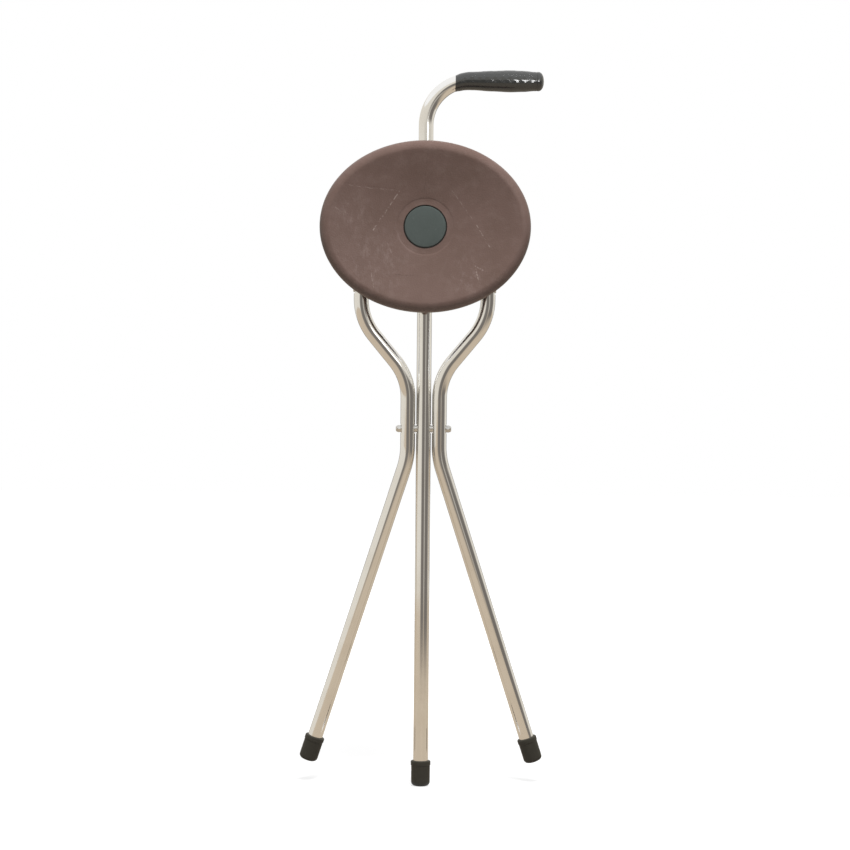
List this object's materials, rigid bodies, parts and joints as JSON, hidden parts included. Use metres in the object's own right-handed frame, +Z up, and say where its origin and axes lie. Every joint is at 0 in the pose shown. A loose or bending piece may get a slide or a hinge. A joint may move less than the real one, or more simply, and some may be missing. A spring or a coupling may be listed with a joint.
{
  "type": "walking stick seat",
  "caption": "Folding walking stick with a hooked handle, two splayed bent-tube legs and an oval dished seat that swings down on a sliding collar.",
  "frame": {"origin": "middle of the hand grip, on the centre line of the handle", "axes": "+X along the handle towards its end, +Z up the stick, and the seat faces -Y when the stick is folded"},
  "size_m": [0.2908, 0.0901, 0.8511],
  "materials": {
    "aluminium_tube": "drawn round tube, brushed along its length and clear anodised, with fine scratches",
    "grip_rubber": "soft black moulded grip, satin, with rows of small raised pips",
    "ferrule_rubber": "dull black rubber, dusty at the tread",
    "seat_plastic": "brown moulded plastic with a fine grain, satin, scuffed and scratched in use",
    "cap_plastic": "dark grey moulded plastic, satin",
    "nylon": "black nylon, smooth",
    "sleeve_plastic": "black extruded plastic tube",
    "bracket_steel": "pressed sheet steel, zinc plated",
    "hardware_steel": "turned and cold-headed steel, bright zinc plate"
  },
  "bodies": {
    "stick": {"hand_grip": "grip_rubber", "pivot_spacer_left": "hardware_steel", "pivot_spacer_right": "hardware_steel", "stick_ferrule": "ferrule_rubber", "stick_ferrule_washer": "hardware_steel", "stick_tube": "aluminium_tube", "stop_pin": "hardware_steel"},
    "legs": {"axle_screw_left": "hardware_steel", "axle_screw_right": "hardware_steel", "axle_sleeve_left": "sleeve_plastic", "axle_sleeve_right": "sleeve_plastic", "left_ferrule": "ferrule_rubber", "left_ferrule_washer": "hardware_steel", "left_leg": "aluminium_tube", "left_leg_plug": "nylon", "pivot_bolt": "hardware_steel", "pivot_nut_left": "hardware_steel", "pivot_nut_right": "hardware_steel", "pivot_washer_left": "hardware_steel", "pivot_washer_right": "hardware_steel", "right_ferrule": "ferrule_rubber", "right_ferrule_washer": "hardware_steel", "right_leg": "aluminium_tube", "right_leg_plug": "nylon", "seat_axle": "hardware_steel"},
    "seat": {"hinge_bush_left": "nylon", "hinge_bush_right": "nylon", "seat_cap": "cap_plastic", "seat_channel": "bracket_steel", "seat_nut_1": "hardware_steel", "seat_nut_2": "hardware_steel", "seat_nut_3": "hardware_steel", "seat_nut_4": "hardware_steel", "seat_pan": "seat_plastic", "seat_plate": "bracket_steel", "seat_screw_1": "hardware_steel", "seat_screw_2": "hardware_steel", "seat_screw_3": "hardware_steel", "seat_screw_4": "hardware_steel"},
    "collar": {"collar_pin_left": "hardware_steel", "collar_pin_right": "hardware_steel", "slide_collar": "nylon"}
  },
  "joints": [
    {"name": "leg_fold", "type": "hinge", "parent": "stick", "child": "legs", "pos_m": [-0.087, 0, -0.414], "axis": [1, 0, 0], "range_deg": [0, 56.5]},
    {"name": "seat_tilt", "type": "hinge", "parent": "legs", "child": "seat", "pos_m": [-0.087, -0.01405, -0.2486], "axis": [1, 0, 0], "range_deg": [-113, 0]},
    {"name": "collar_pivot", "type": "hinge", "parent": "seat", "child": "collar", "pos_m": [-0.087, 0, -0.08319], "axis": [1, 0, 0], "range_deg": [0, 56.5]}
  ],
  "couplings": [
    {"joint": "seat_tilt", "follows": "leg_fold", "ratio": -2},
    {"joint": "collar_pivot", "follows": "leg_fold", "ratio": 1}
  ]
}
